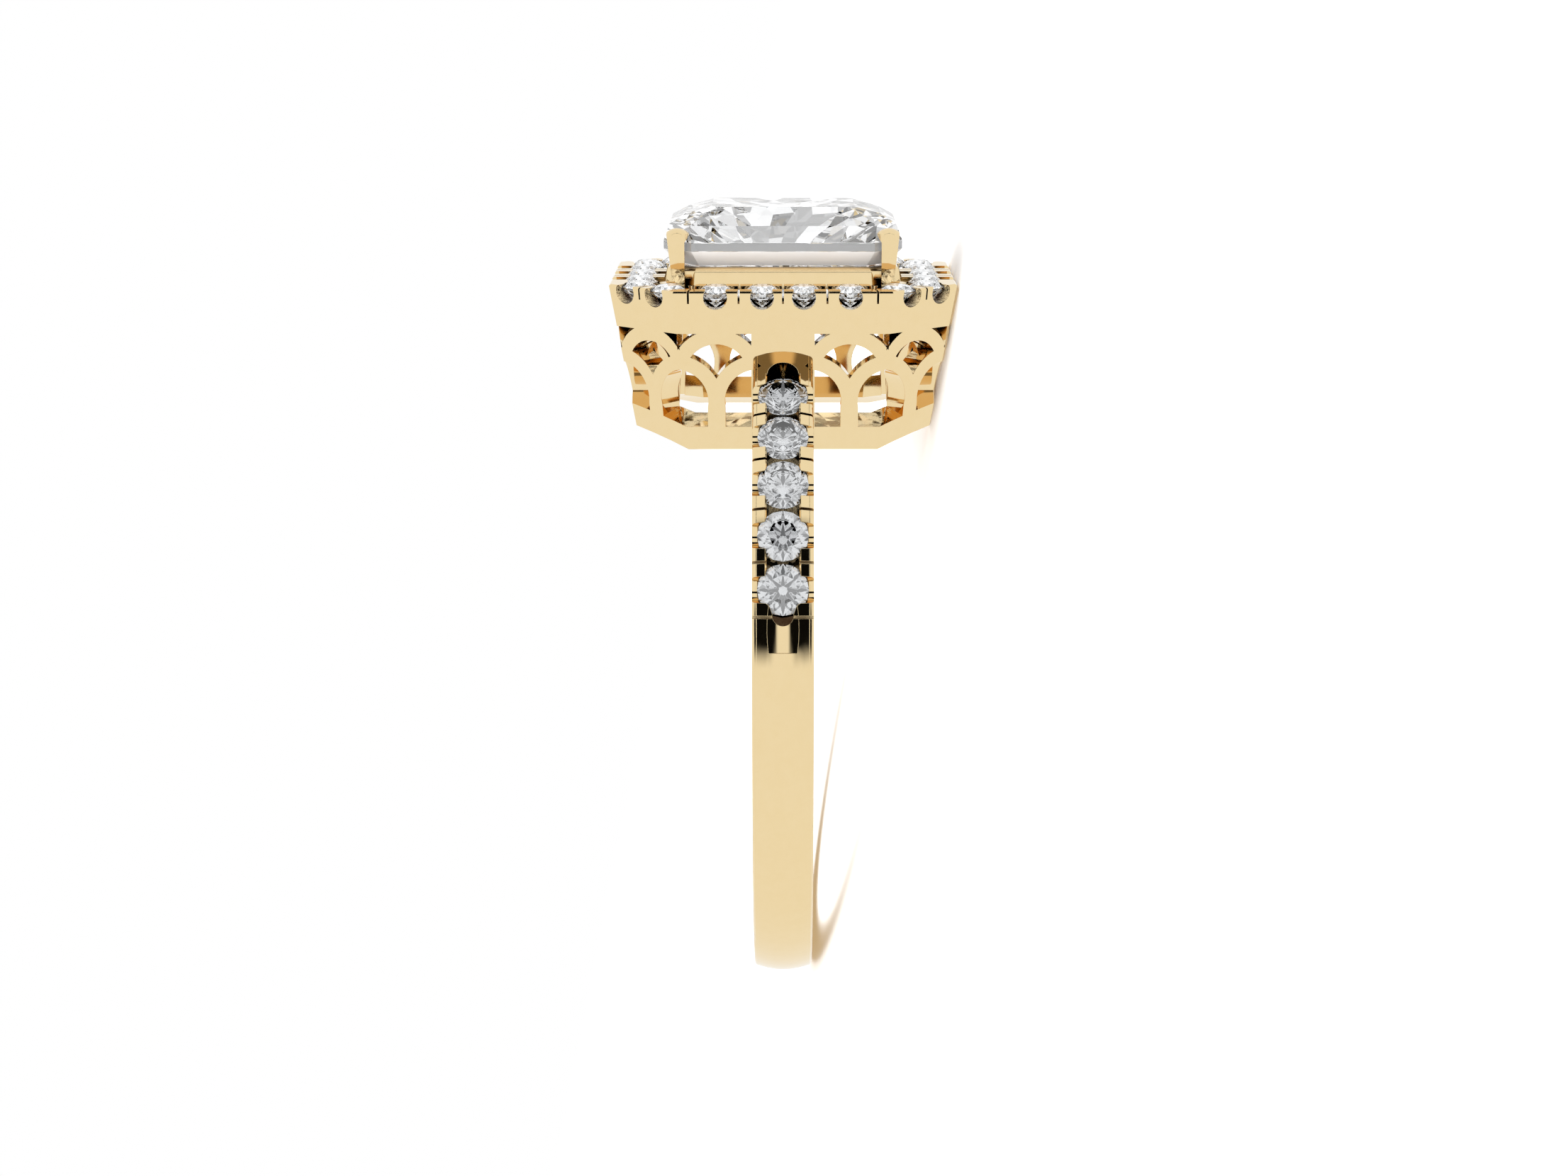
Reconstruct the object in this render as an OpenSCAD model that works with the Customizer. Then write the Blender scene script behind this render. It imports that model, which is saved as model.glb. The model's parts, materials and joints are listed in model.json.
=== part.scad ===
// Halo engagement ring in yellow gold. A band with solid shoulders carries a pierced gallery,
// a flat halo of small round stones and a long cropped-corner stone in four prongs.
// The ring is drawn upright: X runs along the finger, Z points from the finger's axis to the
// main stone, and the axis passes through the origin. It is then laid down on its side.

/* [Shank] */
// Inside radius of the band
finger_r = 8.25; // [8.15:0.05:8.35]
// Outside radius of the plain band
band_r = 9.9; // [9.8:0.05:10]
// Width of the band, along the finger
band_w = 1.81; // [1.75:0.01:1.9]
// Radius of the dome across the outside of the band
band_dome_r = 2.4; // [2.3:0.1:3]
// Height of the centre of the shoulder arcs above the finger's axis
shoulder_rise = 2.1; // [2:0.05:2.2]

/* [Shank stones] */
// Diameter of a shank stone
shank_stone_d = 1.506; // [1.45:0.002:1.51]
// Angle of the lowest shank stone above the centre of the shoulder arc
shank_first_angle = 17.5; // [17:0.1:17.8]
// Distance from one shank stone to the next
shank_pitch = 1.606; // [1.6:0.002:1.62]
// Width of the slot under the shank stones
shank_slot_w = 0.95; // [0.9:0.01:1]

/* [Halo] */
// Half length of the halo, along the finger
halo_half_l = 5.34; // [5.3:0.01:5.4]
// Half width of the halo, across the finger
halo_half_w = 4.25; // [4.2:0.01:4.3]
// Distance from the middle of the halo to its corner walls
halo_corner = 5.39; // [5.36:0.01:5.42]
// Height of the halo's flat top above the finger's axis
halo_top = 12.94; // [12.9:0.01:13]
// Height of the solid wall round the halo
halo_band_h = 1.27; // [1.22:0.01:1.3]
// Width of the flat top, from its outside edge to its opening
halo_flat_w = 1.64; // [1.6:0.01:1.66]
// Diameter of a halo stone
halo_stone_d = 1.1; // [1.06:0.01:1.1]

/* [Gallery] */
// Thickness of the pierced wall
gallery_wall = 0.78; // [0.72:0.01:0.84]
// Height of the solid rail at the foot of the gallery
rail_h = 0.67; // [0.6:0.01:0.7]

/* [Main stone] */
// Half length of the main stone, along the finger
main_half_l = 3.68; // [3.64:0.01:3.7]
// Half width of the main stone
main_half_w = 2.45; // [2.42:0.01:2.47]
// Distance from the middle of the main stone to its cropped corners
main_corner = 3.706; // [3.68:0.002:3.72]
// Height of the main stone's table above the finger's axis
main_table_z = 15.15; // [15.13:0.01:15.17]

/* [Hidden] */
shank_count = 5;
halo_count = 22;
shank_names = [for (i = [1:2 * shank_count]) str("shank_stone_", i < 10 ? "0" : "", i)];
halo_names = [for (i = [1:halo_count]) str("halo_stone_", i < 10 ? "0" : "", i)];

gold = "#EDD7AA";
diamond = "#F2F4F6";
// Room between a stone and the gold beside it
seat_gap = 0.03;
// Segments of a true circle
round_fn = 72;
// Length of a cutter that only has to pass right through
through = 40;

// Band section: drop of the dome at the edge, and the rounding of the edge
band_edge_drop = 0.13;
band_edge_r = 0.14;

// Head: lean of each kind of wall, in mm outwards for each mm up, and the corner's direction
side_lean = 0.18;
front_lean = 0.081;
corner_lean = 0.118;
corner_angle = 50.75;
// The foot of the head clears the finger and follows its curve
foot_r = 8.92;
halo_bevel = 0.06;
gallery_top = halo_top - halo_band_h;

// Scale pattern of the gallery: two rows of rings, half a period apart
upper_row_z = 10.38;
upper_in_r = 0.95;
upper_out_r = 1.4;
lower_row_z = 9.55;
lower_in_r = 1;
lower_out_r = 1.44;
half_period = 1.25;
side_half_period = 1.28;
front_post_x = 2.02;
// Half width of the solid panel where the shoulder meets the head
panel_half_w = 0.96;

// Round stones: heights and the table as shares of the diameter
crown_share = 0.155;
girdle_share = 0.03;
pavilion_share = 0.43;
table_share = 0.57;

// Halo setting: the slot under the stones, the U cuts and the splits between beads
halo_inset = 0.9;
halo_girdle_z = halo_top - 0.12;
halo_slot_w = 0.72;
halo_slot_depth = 0.75;
halo_cut_r = 0.36;
halo_cut_z = halo_top - 0.19;
split_w = 0.06;
split_depth = 0.37;

// Shank setting. The seats are closer round their stones, so that they stay apart
shank_seat_gap = 0.022;
shank_girdle_drop = 0.22;
shank_cut_r = 0.4;
shank_slot_depth = 1.06;
shank_split_w = 0.08;
shank_split_depth = 0.3;

// Main stone: columns are height below the table, and how far the half length, the half
// width and the cropped corner are inside the girdle's
main_angle = 47.4;
main_levels = [
    [0, 1.48, 1.12, 1.36],
    [0.22, 0.66, 0.84, 0.86],
    [0.51, 0.17, 0.47, 0.3],
    [0.97, 0, 0, 0],
    [1.23, 0, 0, 0],
    [1.73, 0.46, 0.47, 0.5]
];
main_tier = 2;
main_girdle_top = 3;
main_girdle_low = 4;
main_pavilion_tier = 5;
// Facets along each of the pavilion's eight sides, and its rings: columns are the share of the
// top ring's size and the height below the table
pavilion_cuts = [4, 1, 6, 1, 4, 1, 6, 1];
pavilion_rings = [[0.8, 2.3], [0.58, 2.85], [0.37, 3.35], [0.17, 3.8]];
pavilion_depth = 4.15;
// Every second point of a ring is drawn in to this share, so that neighbours tilt apart
pavilion_draw = 0.9;

// Prongs: middle of the claw at the front right, its radius and its top
prong_x = 3.24;
prong_y = 2.27;
prong_r = 0.36;
prong_top = 14.61;

// Basket rail under the main stone
basket_half_l = 3.6;
basket_half_w = 2.35;
basket_corner = 3.57;
basket_top = 13.4;
basket_low = 12.75;
basket_thick = 0.36;

function wall_half(top, lean, z) = top - lean * (halo_top - z);
function side_half(z) = wall_half(halo_half_l, side_lean, z);
function front_half(z) = wall_half(halo_half_w, front_lean, z);
function corner_half(z) = wall_half(halo_corner, corner_lean, z);
// Where the front wall and the side wall end at the corner walls
function front_end(z) =
    (corner_half(z) - front_half(z) * sin(corner_angle)) / cos(corner_angle);
function side_end(z) =
    (corner_half(z) - side_half(z) * cos(corner_angle)) / sin(corner_angle);
// The same two edges, measured along the corner wall
function corner_start(z) =
    side_end(z) * cos(corner_angle) - side_half(z) * sin(corner_angle);
function corner_end(z) =
    front_half(z) * cos(corner_angle) - front_end(z) * sin(corner_angle);

// The ring rests on the foot of the head's side wall and on the rounded edge of the band
rest_y = side_end(foot_r);
rest_z = sqrt(foot_r * foot_r - rest_y * rest_y);
rim_x = band_w / 2 - band_edge_r;
rim_z = band_r - band_edge_drop - band_edge_r;
rest_run = side_half(rest_z) - rim_x;
rest_rise = rest_z + rim_z;
rest_tilt = acos(band_edge_r / norm([rest_run, rest_rise])) - atan2(rest_rise, rest_run);
rest_height = side_half(rest_z) * cos(rest_tilt) - rest_z * sin(rest_tilt);
// Half way between the bottom of the band and the edge of the main stone's table
rest_middle = ((main_half_l - main_levels[0][1]) * sin(rest_tilt) + main_table_z * cos(rest_tilt)
    - (band_r - band_dome_r) * cos(rest_tilt) - band_dome_r) / 2;

module as_it_lies() {
    translate([-rest_middle, 0, rest_height]) rotate([0, 90 - rest_tilt, 0]) children();
}

// Halo stones of one quarter: columns are x, y and the direction of the wall beside it
halo_quarter = [
    [0.63, halo_half_w - halo_inset, 90],
    [2.04, halo_half_w - halo_inset, 90],
    [halo_half_l - 1.87, halo_half_w - 1.05, corner_angle],
    [halo_half_l - 0.96, halo_half_w - 1.8, corner_angle],
    [halo_half_l - halo_inset, 1.3, 0]
];
function flip_x(p) = [-p[0], p[1], 180 - p[2]];
function flip_y(p) = [p[0], -p[1], -p[2]];
function backwards(list) = [for (i = [len(list) - 1:-1:0]) list[i]];
halo_half = concat(halo_quarter, [[halo_half_l - halo_inset, 0, 0]],
    backwards([for (p = halo_quarter) flip_y(p)]));
halo_spots = concat(halo_half, backwards([for (p = halo_half) flip_x(p)]));

shank_step = shank_pitch / band_r * 180 / PI;
shank_angles = [for (i = [0:shank_count - 1]) shank_first_angle + i * shank_step];

// Extrudes along the finger: the drawing's X runs across the finger and its Y runs up
module along_finger() {
    rotate([90, 0, 90]) children();
}

module front_and_back() {
    children();
    mirror([0, 1, 0]) children();
}

module four_corners() {
    for (side = [0, 1])
        mirror([side, 0, 0]) front_and_back() children();
}

// Moves to the outside of the front shoulder: Z points out of it and Y points up along it
module on_shoulder(angle) {
    translate([0, 0, shoulder_rise]) rotate([90 - angle, 0, 0])
        translate([0, 0, band_r]) children();
}

// Block with eight flat walls. A row is a wall's direction and its distance at the top and
// at the bottom
module eight_walls(rows, low, high) {
    intersection_for (row = rows)
        rotate([90, 0, row[0]]) linear_extrude(through, center = true)
            polygon([[-row[2], low], [row[2], low], [row[1], high], [-row[1], high]]);
}

module octagon(l, w, c, angle, low, high, bevel = 0) {
    eight_walls([
        [0, l - bevel, l],
        [90, w - bevel, w],
        [angle, c - bevel, c],
        [-angle, c - bevel, c]
    ], low, high);
}

// Section of the band, with X outwards from the finger and Y along it
module band_section(depth) {
    flat_x = band_r - band_edge_drop;
    inner_x = band_r - depth;
    intersection() {
        translate([band_r - band_dome_r, 0]) circle(r = band_dome_r, $fn = round_fn);
        union() {
            translate([inner_x, -band_w / 2])
                square([flat_x - band_edge_r - inner_x, band_w]);
            translate([inner_x, -rim_x]) square([depth, 2 * rim_x]);
            for (side = [-1, 1])
                translate([rim_z, side * rim_x]) circle(r = band_edge_r, $fn = round_fn);
        }
    }
}

// The lower half follows the finger, and the shoulders rise to the head on a higher arc
module shank_form() {
    band_depth = 2.2;
    shoulder_depth = 4;
    shoulder_sweep = 68.5;
    along_finger() rotate([0, 0, 180]) rotate_extrude(angle = 180, $fn = round_fn)
        band_section(band_depth);
    front_and_back() along_finger() {
        rotate([-90, 0, 0]) linear_extrude(shoulder_rise) band_section(band_depth);
        translate([0, shoulder_rise, 0]) rotate_extrude(angle = shoulder_sweep, $fn = round_fn)
            band_section(shoulder_depth);
    }
}

// Room for a round stone, turned about its own axis
module round_room(d, gap) {
    half_girdle = d * girdle_share / 2;
    top = half_girdle + d * crown_share + seat_gap;
    rotate_extrude($fn = round_fn)
        polygon([
            [0, -half_girdle - d * pavilion_share - 2 * seat_gap],
            [d / 2 + gap, -half_girdle - seat_gap],
            [d / 2 + gap, half_girdle + seat_gap],
            [d * table_share / 2 + seat_gap, top],
            [0, top]
        ]);
}

// Slot that narrows to a small round end below the first stone, and the trough that runs out
// of it
module shoulder_slot() {
    slot_r = shank_slot_w / 2;
    low_end = shank_angles[0] - 1.5;
    high_end = shank_angles[shank_count - 1] + 4.9;
    // The ends are a little narrower than the slot, so that their walls cross
    end_r = slot_r - 0.012;
    tip_r = 0.31;
    tip_y = -0.74;
    rim = 0.05;
    trough_r = 1.5;
    trough_depth = 0.095;
    trough_slope = -4;
    trough_l = 1.46;
    // Along its sides the slot opens out to a narrow bevel, from this radius outwards
    bevel_from = band_r - 0.105;
    mirror([0, 1, 0]) along_finger() translate([0, shoulder_rise, 0])
        rotate([0, 0, low_end]) rotate_extrude(angle = high_end - low_end, $fn = round_fn)
            polygon([[band_r - shank_slot_depth, -slot_r], [bevel_from, -slot_r],
                [bevel_from + 1, -slot_r - 1], [bevel_from + 1, slot_r + 1],
                [bevel_from, slot_r], [band_r - shank_slot_depth, slot_r]]);
    on_shoulder(high_end) translate([0, 0, -shank_slot_depth + 0.02])
        cylinder(h = 2, r = end_r, $fn = round_fn);
    on_shoulder(shank_angles[0]) {
        translate([0, 0, -shank_slot_depth + 0.02]) linear_extrude(2) {
            polygon([[-end_r, 0.1], [end_r, 0.1], [0.42, -0.37], [tip_r - 0.012, tip_y],
                [0.012 - tip_r, tip_y], [-0.42, -0.37]]);
            translate([0, tip_y]) circle(r = tip_r, $fn = round_fn);
        }
        translate([0, tip_y, -rim])
            cylinder(h = 6 * rim, r1 = tip_r, r2 = tip_r + 6 * rim, $fn = round_fn);
    }
    on_shoulder(shank_angles[0] - 10.7) rotate([trough_slope, 0, 0])
        translate([0, 0, trough_r - trough_depth]) rotate([-90, 0, 0])
            cylinder(h = trough_l, r = trough_r, $fn = round_fn);
}

// Seats, cross cuts and splits that leave the beads of one shoulder
module shoulder_beads() {
    for (angle = shank_angles) {
        on_shoulder(angle) rotate([0, 90, 0])
            cylinder(h = 2 * band_w, r = shank_cut_r, center = true, $fn = round_fn);
        on_shoulder(angle) translate([0, 0, -shank_girdle_drop])
            round_room(shank_stone_d, shank_seat_gap);
        on_shoulder(angle - shank_step / 2)
            translate([-band_w, -shank_split_w / 2, -shank_split_depth])
                cube([2 * band_w, shank_split_w, 1]);
    }
}

module shank() {
    // The shoulders stop inside the head's front and back walls
    window_half = front_half(finger_r) - gallery_wall / 2;
    difference() {
        shank_form();
        along_finger() cylinder(h = through, r = finger_r, center = true, $fn = round_fn);
        translate([-through / 2, -window_half, finger_r / 2])
            cube([through, 2 * window_half, through]);
        front_and_back() {
            shoulder_slot();
            shoulder_beads();
        }
    }
}

// Block with the head's leaning walls, set in from its outside
module head_form(inset, low, high) {
    eight_walls([
        [0, side_half(high) - inset, side_half(low) - inset],
        [90, front_half(high) - inset, front_half(low) - inset],
        [corner_angle, corner_half(high) - inset, corner_half(low) - inset],
        [-corner_angle, corner_half(high) - inset, corner_half(low) - inset]
    ], low, high);
}

module rings(places, z, r) {
    for (u = places)
        translate([u, z]) circle(r = r, $fn = round_fn);
}

// Openings of one wall, drawn flat: the wall runs from one end to the other, and each end
// holds its place at the bottom and at the top
module scales(lower, upper, from, to) {
    low = finger_r;
    high = gallery_top - 0.02;
    // A little narrower than the arch, so that the outlines cross
    leg_half = lower_in_r - 0.02;
    intersection() {
        polygon([[from[0], low], [to[0], low], [to[1], high], [from[1], high]]);
        union() {
            rings(lower, lower_row_z, lower_in_r);
            for (u = lower)
                translate([u - leg_half, low - 1])
                    square([2 * leg_half, lower_row_z - low + 1]);
            difference() {
                rings(upper, upper_row_z, upper_in_r);
                rings(lower, lower_row_z, lower_out_r);
            }
            difference() {
                translate([from[1] - 1, upper_row_z]) square([to[1] - from[1] + 2, 3]);
                rings(upper, upper_row_z, upper_out_r);
                rings(lower, lower_row_z, lower_out_r);
            }
        }
    }
}

// Cuts a flat drawing through the wall in one direction
module through_wall(direction, half) {
    rotate([0, 0, direction]) translate([half - gallery_wall - 0.12, 0, 0])
        rotate([90, 0, 90]) linear_extrude(3) children();
}

module gallery_openings() {
    low = finger_r;
    high = gallery_top;
    lap = 0.03;
    near = front_post_x - half_period;
    far = front_post_x + half_period;
    front = [front_end(low) + lap, front_end(high) + lap];
    side = [side_end(low) + lap, side_end(high) + lap];
    corner_post = (corner_start(upper_row_z) + corner_end(upper_row_z)) / 2;
    for (direction = [90, 270])
        through_wall(direction, front_half(low))
            difference() {
                scales([-far, -near, near, far], [-front_post_x, front_post_x], -front, front);
                translate([-panel_half_w, 0]) square([2 * panel_half_w, through]);
            }
    for (direction = [0, 180])
        through_wall(direction, side_half(low))
            scales([-2 * side_half_period, 0, 2 * side_half_period],
                [-side_half_period, side_half_period], -side, side);
    four_corners() through_wall(corner_angle, corner_half(low))
        scales([corner_post - half_period, corner_post + half_period], [corner_post],
            [corner_start(low) - lap, corner_start(high) - lap],
            [corner_end(low) + lap, corner_end(high) + lap]);
}

// U cuts, seats and the splits half way between neighbours
module halo_beads() {
    reach = halo_flat_w + 1;
    for (p = halo_spots) {
        translate([p[0], p[1], halo_cut_z]) rotate([0, 0, p[2]]) rotate([0, 90, 0])
            cylinder(h = reach, r = halo_cut_r, center = true, $fn = round_fn);
        translate([p[0], p[1], halo_girdle_z]) round_room(halo_stone_d, seat_gap);
    }
    for (i = [0:halo_count - 1]) {
        a = halo_spots[i];
        b = halo_spots[(i + 1) % halo_count];
        translate([(a[0] + b[0]) / 2, (a[1] + b[1]) / 2, halo_top - split_depth])
            rotate([0, 0, atan2(b[1] - a[1], b[0] - a[0])])
                translate([-split_w / 2, -reach / 2, 0]) cube([split_w, reach, 1]);
    }
}

module halo_slot() {
    outer = halo_inset - halo_slot_w / 2;
    inner = halo_inset + halo_slot_w / 2;
    low = halo_top - halo_slot_depth;
    difference() {
        octagon(halo_half_l - outer, halo_half_w - outer, halo_corner - outer, corner_angle,
            low, halo_top + 1);
        octagon(halo_half_l - inner, halo_half_w - inner, halo_corner - inner, corner_angle,
            low - 1, halo_top + 2);
    }
}

// Gallery and halo, hollow inside and open at the top and the bottom
module head() {
    low = 7;
    // Sloping walls that only take the halo's top edge off
    bevel_rise = halo_top - low + 1;
    bevel_grow = bevel_rise - halo_bevel;
    difference() {
        intersection() {
            head_form(0, low, halo_top);
            octagon(halo_half_l + bevel_grow, halo_half_w + bevel_grow,
                halo_corner + bevel_grow, corner_angle, low - 1, halo_top, bevel_rise);
        }
        head_form(gallery_wall, low - 1, gallery_top);
        octagon(halo_half_l - halo_flat_w, halo_half_w - halo_flat_w,
            halo_corner - halo_flat_w, corner_angle, gallery_top - 1, halo_top + 1);
        along_finger() cylinder(h = through, r = foot_r, center = true, $fn = round_fn);
        difference() {
            gallery_openings();
            along_finger()
                cylinder(h = through, r = foot_r + rail_h, center = true, $fn = round_fn);
        }
        halo_slot();
        halo_beads();
    }
}

// Rail with five narrow bevels along its top, and short bars that join it to the prongs
module basket() {
    // Columns are height below the rail's top and the set-in there
    bevels = [[0.21, 0], [0.14, 0.023], [0.105, 0.042], [0.055, 0.086], [0.03, 0.119], [0, 0.2]];
    // The face below them leans back by this much
    face_lean = 0.06;
    bar_y = basket_half_w - 0.25;
    difference() {
        union() {
            octagon(basket_half_l + face_lean, basket_half_w + face_lean,
                basket_corner + face_lean, main_angle, basket_low,
                basket_top - bevels[0][0], face_lean);
            for (i = [0:len(bevels) - 2]) {
                inset = bevels[i][1];
                octagon(basket_half_l - inset, basket_half_w - inset, basket_corner - inset,
                    main_angle, basket_top - bevels[i][0], basket_top - bevels[i + 1][0],
                    bevels[i + 1][1] - inset);
            }
        }
        octagon(basket_half_l - basket_thick, basket_half_w - basket_thick,
            basket_corner - basket_thick, main_angle, basket_low - 1, basket_top + 1);
    }
    front_and_back() translate([-prong_x, bar_y, basket_top - 0.32])
        cube([2 * prong_x, 0.22, 0.22]);
}

// A claw with a domed top that tapers to the halo, and a leg that runs on to the rail
module prong() {
    dome_r = 0.5;
    intersection() {
        // Outline seen from the front
        rotate([90, 0, 0]) linear_extrude(through, center = true)
            polygon([[2.88, 14.4], [2.88, 15], [3.56, 15], [3.56, 14.4], [3.385, 12.9],
                [3.45, 10], [3.56, 8], [3.26, 8], [3.18, 10], [3.015, 12.9], [3.01, 14.19]]);
        // Outline seen from the side
        rotate([90, 0, 90]) linear_extrude(through, center = true)
            polygon([[1.91, 14.4], [1.91, 15], [2.6, 15], [2.6, 14.4], [2.43, 12.9],
                [2.48, 10], [2.58, 8], [2.28, 8], [2.2, 10], [2.06, 12.9], [2.04, 14.19]]);
        union() {
            translate([prong_x, prong_y, prong_top - dome_r]) sphere(r = dome_r, $fn = round_fn);
            translate([prong_x, prong_y, 8])
                cylinder(h = prong_top - dome_r - 8, r = dome_r, $fn = round_fn);
        }
        union() {
            translate([prong_x, prong_y, 12.9])
                cylinder(h = 3, r = prong_r, $fn = round_fn);
            translate([0, 0, 8]) cube([6, 6, 4.9]);
        }
    }
}

// Room for the main stone's crown, girdle and the facets that face the basket rail
module main_room() {
    rows = main_levels;
    grow = 1.5 * seat_gap;
    rail_reach = 1.3;
    lowest = rows[main_girdle_low]
        + rail_reach * (rows[main_pavilion_tier] - rows[main_girdle_low]);
    for (pair = [[rows[main_tier], rows[main_girdle_top]],
        [rows[main_girdle_top], rows[main_girdle_low]], [rows[main_girdle_low], lowest]]) {
        up = pair[0];
        down = pair[1];
        eight_walls([
            [0, main_half_l - up[1] + grow, main_half_l - down[1] + grow],
            [90, main_half_w - up[2] + grow, main_half_w - down[2] + grow],
            [main_angle, main_corner - up[3] + grow, main_corner - down[3] + grow],
            [-main_angle, main_corner - up[3] + grow, main_corner - down[3] + grow]
        ], main_table_z - down[0], main_table_z - up[0]);
    }
}

module ring_setting() {
    color(gold) as_it_lies() difference() {
        union() {
            shank();
            head();
            basket();
            difference() {
                four_corners() prong();
                along_finger()
                    cylinder(h = through, r = foot_r, center = true, $fn = round_fn);
            }
        }
        main_room();
    }
}

// Eight-sided ring of points
function octagon_points(l, w, c, z) = let (
    x = (c - w * sin(main_angle)) / cos(main_angle),
    y = (c - l * cos(main_angle)) / sin(main_angle)
) [[l, -y, z], [l, y, z], [x, w, z], [-x, w, z], [-l, y, z], [-l, -y, z], [-x, -w, z], [x, -w, z]];

// Ring of points half way between neighbours, taken a number of times
function half_way(ring, times) = times == 0 ? ring
    : half_way([for (i = [0:len(ring) - 1]) (ring[i] + ring[(i + 1) % len(ring)]) / 2], times - 1);

// Main stone: stepped crown and girdle, and a pavilion of triangles that end in a point
module center_stone() {
    rows = main_levels;
    steps = [for (row = rows) octagon_points(main_half_l - row[1], main_half_w - row[2],
        main_corner - row[3], main_table_z - row[0])];
    low_step = main_pavilion_tier - 1;
    base = [for (i = [0:7]) for (k = [0:pavilion_cuts[i] - 1])
        let (a = steps[main_pavilion_tier][i], b = steps[main_pavilion_tier][(i + 1) % 8])
        a + (b - a) * k / pavilion_cuts[i]];
    n = len(base);
    // Place of each side's first point on that ring
    first = [for (i = 0, sum = 0; i < 9; sum = sum + pavilion_cuts[i % 8], i = i + 1) sum];
    rings = [for (k = [0:len(pavilion_rings) - 1]) let (ring = half_way(base, k + 1))
        [for (i = [0:n - 1]) let (share = pavilion_rings[k][0] * (i % 2 == 0 ? pavilion_draw : 1))
            [ring[i][0] * share, ring[i][1] * share, main_table_z - pavilion_rings[k][1]]]];
    g = 8 * low_step;
    b = g + 8;
    tip = b + n * (len(rings) + 1);
    points = concat([for (k = [0:low_step]) each steps[k]], base, [for (ring = rings) each ring],
        [[0, 0, main_table_z - pavilion_depth]]);
    color(diamond) as_it_lies() polyhedron(points, concat(
        [[for (i = [7:-1:0]) i]],
        [for (k = [0:low_step - 1]) for (i = [0:7])
            [8 * k + i, 8 * k + (i + 1) % 8, 8 * k + 8 + (i + 1) % 8, 8 * k + 8 + i]],
        [for (i = [0:7]) concat([g + i, g + (i + 1) % 8],
            [for (k = [first[i + 1]:-1:first[i]]) b + k % n])],
        [for (k = [0:len(rings) - 1]) for (i = [0:n - 1])
            let (top = b + n * k, low = top + n, j = (i + 1) % n)
                each [[top + i, top + j, low + i], [low + i, top + j, low + j]]],
        [for (i = [0:n - 1]) [tip - n + i, tip - n + (i + 1) % n, tip]]
    ));
}

function ring_points(n, r, z, start) =
    [for (i = [0:n - 1]) [r * cos(start + i * 360 / n), r * sin(start + i * 360 / n), z]];
// Height at radius x on the straight line from one edge to another
function on_line(x, r1, z1, r2, z2) = z1 + (z2 - z1) * (x - r1) / (r2 - r1);

// Round brilliant with its girdle at the origin: table, eight stars, eight kites, sixteen
// upper halves, sixteen lower halves and eight mains
module round_stone(d) {
    r = d / 2;
    hg = d * girdle_share / 2;
    table_r = r * table_share;
    table_z = hg + d * crown_share;
    culet_z = -hg - d * pavilion_share;
    star_r = r * 0.764;
    star_z = on_line(star_r * cos(22.5), table_r, table_z, r, hg);
    half_r = r * 0.25;
    half_z = on_line(half_r * cos(22.5), r, -hg, 0, culet_z);
    points = concat(
        ring_points(8, table_r, table_z, 0),
        ring_points(8, star_r, star_z, 22.5),
        ring_points(16, r, hg, 0),
        ring_points(16, r, -hg, 0),
        ring_points(8, half_r, half_z, 22.5),
        [[0, 0, culet_z]]
    );
    star = 8;
    upper = 16;
    lower = 32;
    half = 48;
    tip = 56;
    color(diamond) polyhedron(points, concat(
        [[for (i = [7:-1:0]) i]],
        [for (i = [0:7]) [(i + 1) % 8, star + i, i]],
        [for (i = [0:7]) [i, star + i, upper + 2 * i, star + (i + 7) % 8]],
        [for (i = [0:7]) [star + i, upper + 2 * i + 1, upper + 2 * i]],
        [for (i = [0:7]) [star + i, upper + (2 * i + 2) % 16, upper + 2 * i + 1]],
        [for (i = [0:15]) [upper + i, upper + (i + 1) % 16, lower + (i + 1) % 16, lower + i]],
        [for (i = [0:7]) [lower + 2 * i, lower + 2 * i + 1, half + i]],
        [for (i = [0:7]) [lower + 2 * i + 1, lower + (2 * i + 2) % 16, half + i]],
        [for (i = [0:7]) [tip, half + (i + 7) % 8, lower + 2 * i, half + i]]
    ));
}

module halo_stone(i) {
    p = halo_spots[i];
    as_it_lies() translate([p[0], p[1], halo_girdle_z]) rotate([0, 0, p[2]])
        round_stone(halo_stone_d);
}

// The first five stones are on the front shoulder and the others are behind them
module shank_stone(i) {
    as_it_lies() mirror([0, i < shank_count ? 0 : 1, 0])
        on_shoulder(shank_angles[i % shank_count]) translate([0, 0, -shank_girdle_drop])
            round_stone(shank_stone_d);
}

ring_setting();
center_stone();
for (i = [0:halo_count - 1])
    halo_stone(i);
for (i = [0:2 * shank_count - 1])
    shank_stone(i);
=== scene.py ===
"""A halo engagement ring in yellow gold, lying on its side as it would on a table.

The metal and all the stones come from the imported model, in metres. The camera looks across
the ring at the angle of the photograph, so the ring is upright in the picture.
"""
import json
import math

import bpy
from mathutils import Matrix, Vector

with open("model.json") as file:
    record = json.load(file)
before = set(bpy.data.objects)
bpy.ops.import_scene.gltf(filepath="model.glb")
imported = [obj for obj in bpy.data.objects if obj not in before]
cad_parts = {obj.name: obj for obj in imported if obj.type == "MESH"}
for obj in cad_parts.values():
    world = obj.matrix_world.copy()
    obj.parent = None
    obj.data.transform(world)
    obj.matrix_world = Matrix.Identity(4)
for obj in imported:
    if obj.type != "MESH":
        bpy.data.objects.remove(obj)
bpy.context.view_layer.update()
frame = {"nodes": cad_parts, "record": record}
pieces = frame["nodes"]

# The picture: the ring leans on its band and on the side wall of its head, so its own
# upright frame is turned by that lean. The camera is set in the ring's frame, whose middle
# is the finger hole's: X runs along the finger and Z points to the main stone.

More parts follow.
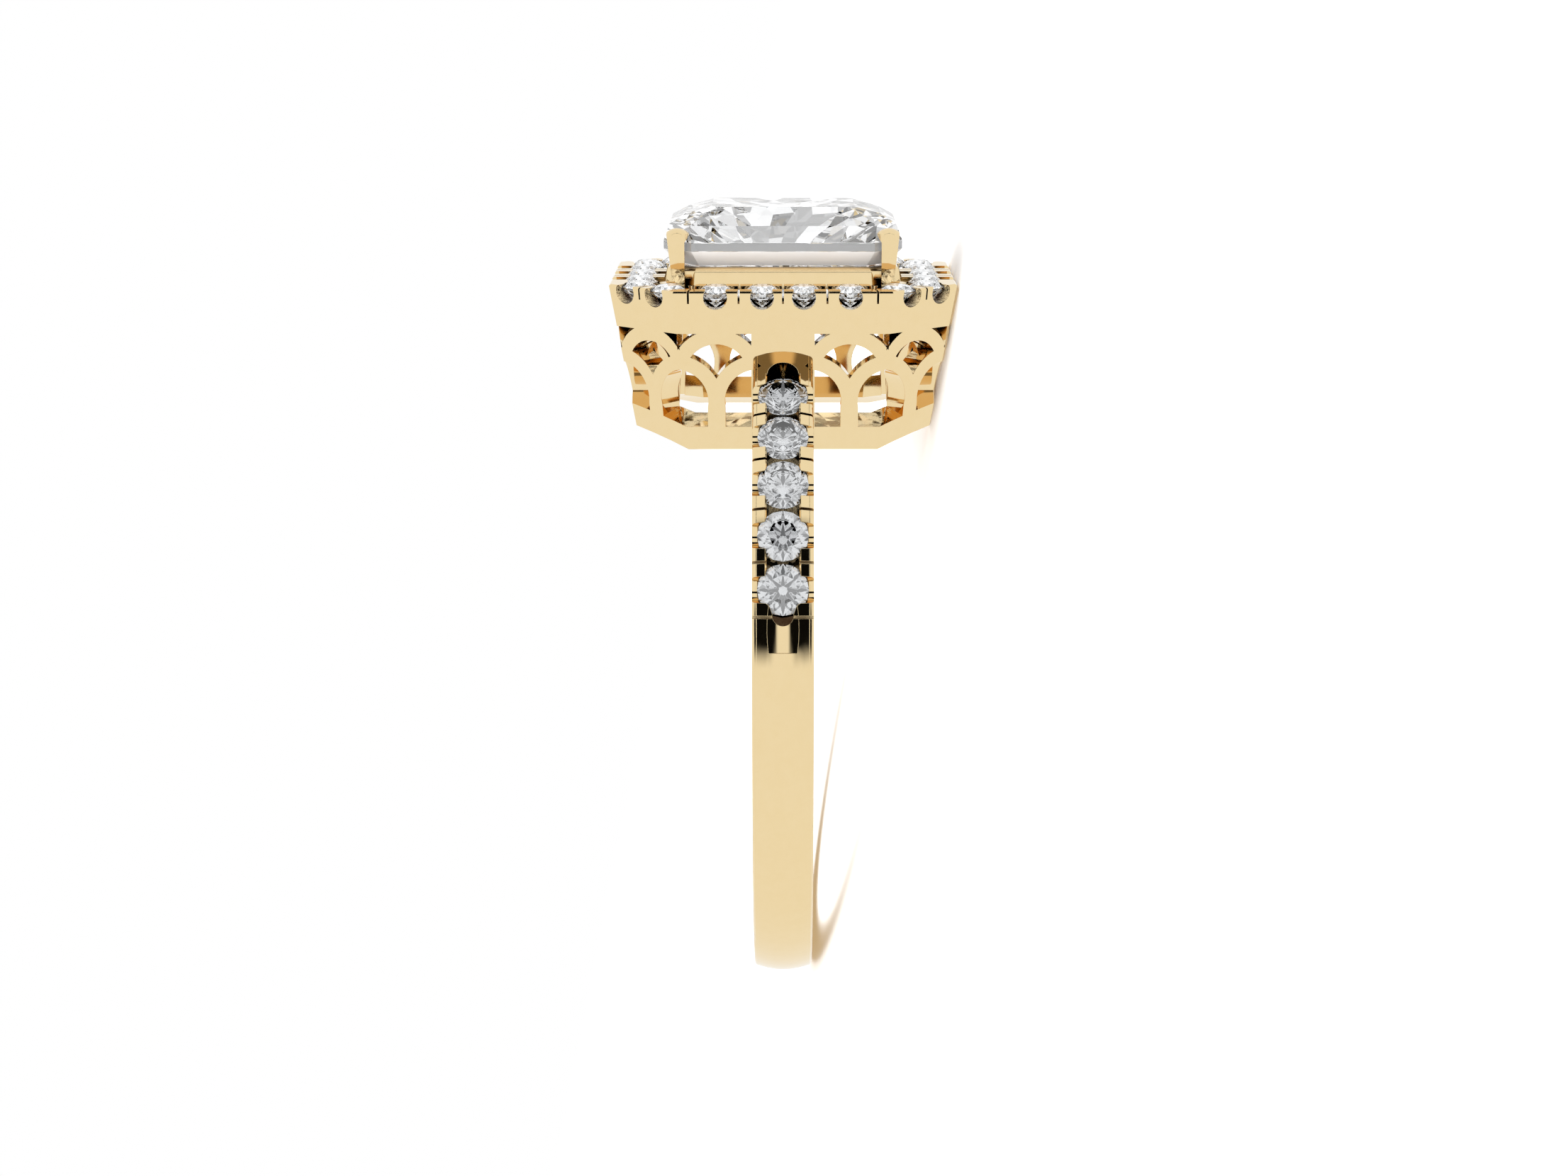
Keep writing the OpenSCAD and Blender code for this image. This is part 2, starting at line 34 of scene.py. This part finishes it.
mm = 0.001
finger = frame["record"]["mounts"][0]
down_the_finger = Vector(finger["axis"]).normalized()
across = Vector((0, 1, 0))
to_the_stone = down_the_finger.cross(across)
middle = Vector(finger["pos_m"])
camera_spot = Vector((0.03, -80.5, 23.9)) * mm
camera_pitch = math.radians(14.8)

lens_data = bpy.data.cameras.new("camera")
lens_data.sensor_width = 36
lens_data.lens = 58.59
lens_data.clip_start = 0.005
lens_data.clip_end = 5
camera = bpy.data.objects.new("camera", lens_data)
bpy.context.scene.collection.objects.link(camera)
up_in_picture = across * math.sin(camera_pitch) + to_the_stone * math.cos(camera_pitch)
away = to_the_stone * math.sin(camera_pitch) - across * math.cos(camera_pitch)
camera.matrix_world = Matrix((down_the_finger, up_in_picture, away)).transposed().to_4x4()
camera.location = (middle + down_the_finger * camera_spot.x + across * camera_spot.y
                   + to_the_stone * camera_spot.z)
bpy.context.scene.camera = camera
bpy.context.scene.view_settings.view_transform = "Standard"

# Table: a sheet of matt white card, lit up to white by a wide softbox that hangs over it. The
# polished metal and the stones reflect the studio instead of the card, and the card casts no
# shadow and adds nothing to the shade painted into the corners of the metal.


def linear(hex_colour):
    """An sRGB hex colour such as EDD7AA as the linear RGBA that a socket takes."""
    parts = [int(hex_colour[i:i + 2], 16) / 255 for i in (0, 2, 4)]
    return [c / 12.92 if c <= 0.04045 else ((c + 0.055) / 1.055) ** 2.4 for c in parts] + [1]


def node(tree, kind, settings=None, values=None, links=None):
    """Adds one node: settings are its properties, values fill sockets, links feed them."""
    made = tree.nodes.new(kind)
    for name, value in (settings or {}).items():
        setattr(made, name, value)
    for name, value in (values or {}).items():
        made.inputs[name].default_value = value
    for name, source in (links or {}).items():
        tree.links.new(source, made.inputs[name])
    return made


def new_material(name):
    """An empty node material and its tree."""
    made = bpy.data.materials.new(name)
    made.use_nodes = True
    made.node_tree.nodes.clear()
    return made, made.node_tree


# The fibres of real card are finer than this and wouldn't show
fibre_size = 1.11 * mm
paper, tree = new_material("matt_white_card")
place = node(tree, "ShaderNodeTexCoord")
fibre = node(tree, "ShaderNodeTexNoise", values={"Scale": 1 / fibre_size, "Detail": 3},
             links={"Vector": place.outputs["Object"]})
relief = node(tree, "ShaderNodeBump", values={"Strength": 0.04, "Distance": 0.1 * mm},
              links={"Height": fibre.outputs["Fac"]})
card = node(tree, "ShaderNodeBsdfPrincipled",
            values={"Base Color": linear("FBFBFB"), "Roughness": 0.9},
            links={"Normal": relief.outputs["Normal"]})
node(tree, "ShaderNodeOutputMaterial", links={"Surface": card.outputs["BSDF"]})

sheet_half = 1.2
sheet = bpy.data.meshes.new("table")
sheet.from_pydata([(-sheet_half, -sheet_half, 0), (sheet_half, -sheet_half, 0),
                   (sheet_half, sheet_half, 0), (-sheet_half, sheet_half, 0)], [],
                  [(0, 1, 2, 3)])
sheet.materials.append(paper)
table = bpy.data.objects.new("table", sheet)
bpy.context.scene.collection.objects.link(table)
table.visible_glossy = False
table.visible_transmission = False
table.visible_shadow = False

softbox_height = 0.5
softbox_data = bpy.data.lights.new("softbox", "AREA")
softbox_data.size = 1.6
softbox_data.energy = 12
softbox = bpy.data.objects.new("softbox", softbox_data)
softbox.location = (0, 0, softbox_height)
softbox.visible_glossy = False
softbox.visible_transmission = False
bpy.context.scene.collection.objects.link(softbox)

# A small lamp low in front, which brightens only what is matt: the card, and the facets under
# the main stone's girdle
lamp_distance = 0.33
lamp_drop = 0.5
lamp_data = bpy.data.lights.new("front_lamp", "AREA")
lamp_data.size = 0.2
lamp_data.energy = 0.8
lamp = bpy.data.objects.new("front_lamp", lamp_data)
lamp_direction = (-across - lamp_drop * to_the_stone).normalized()
lamp.matrix_world = lamp_direction.to_track_quat("Z", "Y").to_matrix().to_4x4()
lamp.location = lamp_distance * lamp_direction
lamp.visible_glossy = False
lamp.visible_transmission = False
bpy.context.scene.collection.objects.link(lamp)

# Studio: white all round. For the metal, two upright dark boards stand beside the camera with
# a dark bar between them, and a small dark patch hangs overhead: they draw the black lines in
# polished gold. Seen through the stones, the walls have grey panels, alike on both sides.

studio = bpy.data.worlds.new("white_studio")
studio.use_nodes = True
tree = studio.node_tree
tree.nodes.clear()
bpy.context.scene.world = studio
white = (1, 1, 1, 1)
bright = (1.4, 1.4, 1.4, 1)
black = (0.004, 0.004, 0.004, 1)
# Sockets of a colour mix, by place, because its other kinds of socket have the same names
mix_a, mix_b, mixed = 6, 7, 2

sight = node(tree, "ShaderNodeTexCoord").outputs["Generated"]
side = node(tree, "ShaderNodeVectorMath", {"operation": "DOT_PRODUCT"},
            {1: down_the_finger}, {0: sight})
front = node(tree, "ShaderNodeVectorMath", {"operation": "DOT_PRODUCT"},
             {1: -across}, {0: sight})
height = node(tree, "ShaderNodeVectorMath", {"operation": "DOT_PRODUCT"},
              {1: to_the_stone}, {0: sight})
heading = node(tree, "ShaderNodeMath", {"operation": "ARCTAN2"},
               links={0: side.outputs["Value"], 1: front.outputs["Value"]})
turn = node(tree, "ShaderNodeMath", {"operation": "ABSOLUTE"}, links={0: heading.outputs[0]})
rise = node(tree, "ShaderNodeMath", {"operation": "ARCSINE"},
            links={0: height.outputs["Value"]})


def between(angle, low, high, soft_low=1, soft_high=1):
    """Mask of the directions whose angle lies between two values, all in degrees.

    A value that the angle never reaches leaves that side open.
    """
    edges = []
    for limit, soft, ends in ((low, soft_low, (0, 1)), (high, soft_high, (1, 0))):
        edges.append(node(
            tree, "ShaderNodeMapRange", {"interpolation_type": "SMOOTHSTEP"},
            {"From Min": math.radians(limit - soft), "From Max": math.radians(limit + soft),
             "To Min": ends[0], "To Max": ends[1]}, {"Value": angle.outputs[0]}))
    return node(tree, "ShaderNodeMath", {"operation": "MULTIPLY"},
                links={0: edges[0].outputs["Result"], 1: edges[1].outputs["Result"]})


boards_wide = between(turn, 15, 41, soft_low=5)
boards_high = between(rise, -5, 60, soft_low=4.5, soft_high=2)
side_boards = node(tree, "ShaderNodeMath", {"operation": "MULTIPLY"},
                   links={0: boards_wide.outputs[0], 1: boards_high.outputs[0]})
bar_wide = between(turn, -30, 21)
bar_high = between(rise, 30, 46)
cross_bar = node(tree, "ShaderNodeMath", {"operation": "MULTIPLY"},
                 links={0: bar_wide.outputs[0], 1: bar_high.outputs[0]})
low_boards = node(tree, "ShaderNodeMath", {"operation": "MAXIMUM"},
                  links={0: side_boards.outputs[0], 1: cross_bar.outputs[0]})
overhead = between(rise, 80, 100)
boards = node(tree, "ShaderNodeMath", {"operation": "MAXIMUM"},
              links={0: low_boards.outputs[0], 1: overhead.outputs[0]})

# Light that reaches the eye over several gold walls grows deeper in colour at each of them,
# and it fades in the slots under the stones. The boards only show in the first reflections.
# The depths are numbers of reflections.
untinted_depth = 2
golden_depth = 4.5
deepest = 10
boards_fade = 2.5
boards_gone = 4.5
rays = node(tree, "ShaderNodeLightPath").outputs
bounces = node(tree, "ShaderNodeMapRange", values={"From Max": deepest},
               links={"Value": rays["Ray Depth"]})
depth_tint = node(tree, "ShaderNodeValToRGB", links={"Fac": bounces.outputs["Result"]})
tint_stops = depth_tint.color_ramp.elements
tint_stops[0].position = untinted_depth / deepest
tint_stops[0].color = white
tint_stops[1].position = 1
tint_stops[1].color = linear("3C1E08")
tint_stops.new(golden_depth / deepest).color = linear("EFC07A")
board_share = node(tree, "ShaderNodeMapRange",
                   values={"From Min": boards_fade, "From Max": boards_gone,
                           "To Min": 1, "To Max": 0},
                   links={"Value": rays["Ray Depth"]})
board_mask = node(tree, "ShaderNodeMath", {"operation": "MULTIPLY"},
                  links={0: boards.outputs[0], 1: board_share.outputs["Result"]})
board_tone = node(tree, "ShaderNodeMix", {"data_type": "RGBA"},
                  {mix_a: white, mix_b: black}, {0: board_mask.outputs[0]})
for_metal = node(tree, "ShaderNodeMix", {"data_type": "RGBA", "blend_type": "MULTIPLY"},
                 {0: 1},
                 {mix_a: board_tone.outputs[mixed], mix_b: depth_tint.outputs["Color"]})

# Grey panels of the stones' studio: cells about six degrees wide in four tones, up to fifty
# degrees high, and a darker round area where the camera stands
panels_in_a_radian = 9
panel_tones = ((0.5, 0.22), (0.7, 0.48), (0.88, 0.66))
lens_tone = 0.75
half_side = node(tree, "ShaderNodeMath", {"operation": "ABSOLUTE"},
                 links={0: side.outputs["Value"]})
mirrored = node(tree, "ShaderNodeCombineXYZ",
                links={0: half_side.outputs[0], 1: front.outputs["Value"],
                       2: height.outputs["Value"]})
panels = node(tree, "ShaderNodeTexVoronoi", values={"Scale": panels_in_a_radian},
              links={"Vector": mirrored.outputs["Vector"]})
draw = node(tree, "ShaderNodeSeparateColor", links={"Color": panels.outputs["Color"]})
tones = node(tree, "ShaderNodeValToRGB", links={"Fac": draw.outputs["Red"]})
tones.color_ramp.interpolation = "CONSTANT"
tone_stops = tones.color_ramp.elements
tone_stops.remove(tone_stops[1])
for start, tone in panel_tones:
    tone_stops.new(start).color = (tone, tone, tone, 1)
off_lens = node(tree, "ShaderNodeVectorMath", {"operation": "DOT_PRODUCT"},
                {1: (camera.location - middle).normalized()}, {0: sight})
off_angle = node(tree, "ShaderNodeMath", {"operation": "ARCCOSINE"},
                 links={0: off_lens.outputs["Value"]})
near_lens = between(off_angle, -9, 18)
round_camera = node(tree, "ShaderNodeMath", {"operation": "MULTIPLY"}, {1: lens_tone},
                    {0: near_lens.outputs[0]})
panels_high = between(rise, -95, 50, soft_low=3, soft_high=3)
low_panels = node(tree, "ShaderNodeMath", {"operation": "MULTIPLY"},
                  links={0: tones.outputs["Color"], 1: panels_high.outputs[0]})
greys = node(tree, "ShaderNodeMath", {"operation": "MAXIMUM"},
             links={0: round_camera.outputs[0], 1: low_panels.outputs[0]})
for_stones = node(tree, "ShaderNodeMix", {"data_type": "RGBA"},
                  {mix_a: bright, mix_b: black}, {0: greys.outputs[0]})

around = node(tree, "ShaderNodeMix", {"data_type": "RGBA"}, {mix_b: white},
              {0: rays["Is Camera Ray"], mix_a: for_metal.outputs[mixed]})
in_stone = node(tree, "ShaderNodeMath", {"operation": "GREATER_THAN"}, {1: 0.5},
                {0: rays["Transmission Depth"]})
seen = node(tree, "ShaderNodeMix", {"data_type": "RGBA"},
            links={0: in_stone.outputs[0], mix_a: around.outputs[mixed],
                   mix_b: for_stones.outputs[mixed]})
glow = node(tree, "ShaderNodeBackground", links={"Color": seen.outputs[mixed]})
node(tree, "ShaderNodeOutputWorld", links={"Surface": glow.outputs["Background"]})

# Setting: band, gallery, halo, basket rail and prongs, cast in yellow gold, soldered into one
# piece and polished to a mirror. Polishing rounds every edge a little, leaves a slight haze,
# and the surface waves faintly. The stones are shown without the metal behind them.


def dress(start, material):
    """Gives a material to every piece of the ring whose name starts with these words."""
    for name, piece in pieces.items():
        if name.startswith(start):
            piece.material_slots[0].material = material


mark_size = 0.385 * mm
clearest_polish = 0.03
haziest_polish = 0.07
wave_length = 2.38 * mm
edge_radius = 0.015 * mm
# How far round a spot its walls count for the painted shade, and the open share at which the
# gold is painted dark or left fully bright
shade_reach = 0.9 * mm
dark_share = 0.2
bright_share = 0.5
gold, tree = new_material("polished_yellow_gold")
place = node(tree, "ShaderNodeTexCoord")
marks = node(tree, "ShaderNodeTexNoise",
             values={"Scale": 1 / mark_size, "Detail": 4, "Roughness": 0.65},
             links={"Vector": place.outputs["Object"]})
haze = node(tree, "ShaderNodeMapRange",
            values={"From Min": 0.3, "From Max": 0.7,
                    "To Min": clearest_polish, "To Max": haziest_polish},
            links={"Value": marks.outputs["Fac"]})
shade = node(tree, "ShaderNodeMix", {"data_type": "RGBA"},
             {mix_a: linear("EED8AB"), mix_b: linear("EBD3A2")}, {0: marks.outputs["Fac"]})
# Painted shade: the bottom of the slots and the inner corners, where walls close round a spot,
# are painted dark brown
corners = node(tree, "ShaderNodeAmbientOcclusion", {"samples": 8}, {"Distance": shade_reach})
unshaded_share = node(tree, "ShaderNodeMapRange",
               values={"From Min": dark_share, "From Max": bright_share},
               links={"Value": corners.outputs["AO"]})
gold_with_painted_shade = node(tree, "ShaderNodeMix", {"data_type": "RGBA"}, {mix_a: linear("2A1204")},
             {0: unshaded_share.outputs["Result"], mix_b: shade.outputs[mixed]})
soft_edges = node(tree, "ShaderNodeBevel", {"samples": 6}, {"Radius": edge_radius})
waves = node(tree, "ShaderNodeTexNoise", values={"Scale": 1 / wave_length, "Detail": 1},
             links={"Vector": place.outputs["Object"]})
relief = node(tree, "ShaderNodeBump", values={"Strength": 0.02, "Distance": 0.02 * mm},
              links={"Height": waves.outputs["Fac"], "Normal": soft_edges.outputs["Normal"]})
metal = node(tree, "ShaderNodeBsdfPrincipled", values={"Metallic": 1},
             links={"Base Color": gold_with_painted_shade.outputs[mixed], "Roughness": haze.outputs["Result"],
                    "Normal": relief.outputs["Normal"]})
node(tree, "ShaderNodeOutputMaterial", links={"Surface": metal.outputs["BSDF"]})
dress("ring_setting", gold)
pieces["ring_setting"].visible_transmission = False

# Halo stones: round brilliants of colourless diamond, each held by beads of gold. Faint zones
# of growth tint them a little, and the high index sends most of the light back out of the
# crown in grey and white patches.

diamond_index = 2.417
zone_size = 1.11 * mm


def diamond(name, clear, clouded, reflections, dimmed):
    """Diamond in two tints. Light that is still inside after some reflections leaves dimmed."""
    made, tree = new_material(name)
    place = node(tree, "ShaderNodeTexCoord")
    zones = node(tree, "ShaderNodeTexNoise", values={"Scale": 1 / zone_size, "Detail": 2},
                 links={"Vector": place.outputs["Object"]})
    tint = node(tree, "ShaderNodeMix", {"data_type": "RGBA"},
                {mix_a: linear(clear), mix_b: linear(clouded)}, {0: zones.outputs["Fac"]})
    cut = node(tree, "ShaderNodeBsdfPrincipled",
               values={"Roughness": 0, "IOR": diamond_index, "Transmission Weight": 1},
               links={"Base Color": tint.outputs[mixed]})
    path = node(tree, "ShaderNodeLightPath")
    trapped = node(tree, "ShaderNodeMath", {"operation": "GREATER_THAN"},
                   {1: reflections - 0.5}, {0: path.outputs["Glossy Depth"]})
    leak = node(tree, "ShaderNodeBsdfTransparent", values={"Color": linear(dimmed)})
    surface = node(tree, "ShaderNodeMixShader",
                   links={0: trapped.outputs[0], 1: cut.outputs["BSDF"],
                          2: leak.outputs["BSDF"]})
    node(tree, "ShaderNodeOutputMaterial", links={"Surface": surface.outputs["Shader"]})
    return made


dress("halo_stone", diamond("halo_diamond", "F6F7F8", "ECEEF0", 4, "B8B8B8"))

# Shank stones: larger round brilliants in a row on each shoulder, over a dark slot that isn't
# seen through them. Their tint and the light leaving them are painted greyer than the halo's,
# as shade.

dress("shank_stone", diamond("shank_diamond", "D2D4D6", "C4C6C8", 3, "3A3A3A"))

# Main stone: one long piece with cropped corners, held by the four claws, and nearly pure. The
# facets just under its girdle look plain white, so they scatter light here as ground ones do.

# The middle of these facets above the finger's axis, and half their height
ground_height = 13.67 * mm
ground_half = 0.24 * mm
ground_roughness = 0.5
ground_white = 0.85
main_diamond = diamond("main_diamond", "FFFFFF", "F8F9FA", 4, "E2E2E2")
tree = main_diamond.node_tree
cut = tree.nodes["Principled BSDF"]
place = node(tree, "ShaderNodeTexCoord")
up_the_stone = node(tree, "ShaderNodeVectorMath", {"operation": "DOT_PRODUCT"},
                    {1: to_the_stone}, {0: place.outputs["Object"]})
ground = node(tree, "ShaderNodeMath", {"operation": "COMPARE"},
              {1: middle.dot(to_the_stone) + ground_height, 2: ground_half},
              {0: up_the_stone.outputs["Value"]})
ground_haze = node(tree, "ShaderNodeMath", {"operation": "MULTIPLY"}, {1: ground_roughness},
                   {0: ground.outputs[0]})
clear_share = node(tree, "ShaderNodeMath", {"operation": "MULTIPLY_ADD"},
                   {1: -ground_white, 2: 1}, {0: ground.outputs[0]})
tree.links.new(ground_haze.outputs[0], cut.inputs["Roughness"])
tree.links.new(clear_share.outputs[0], cut.inputs["Transmission Weight"])
dress("center_stone", main_diamond)
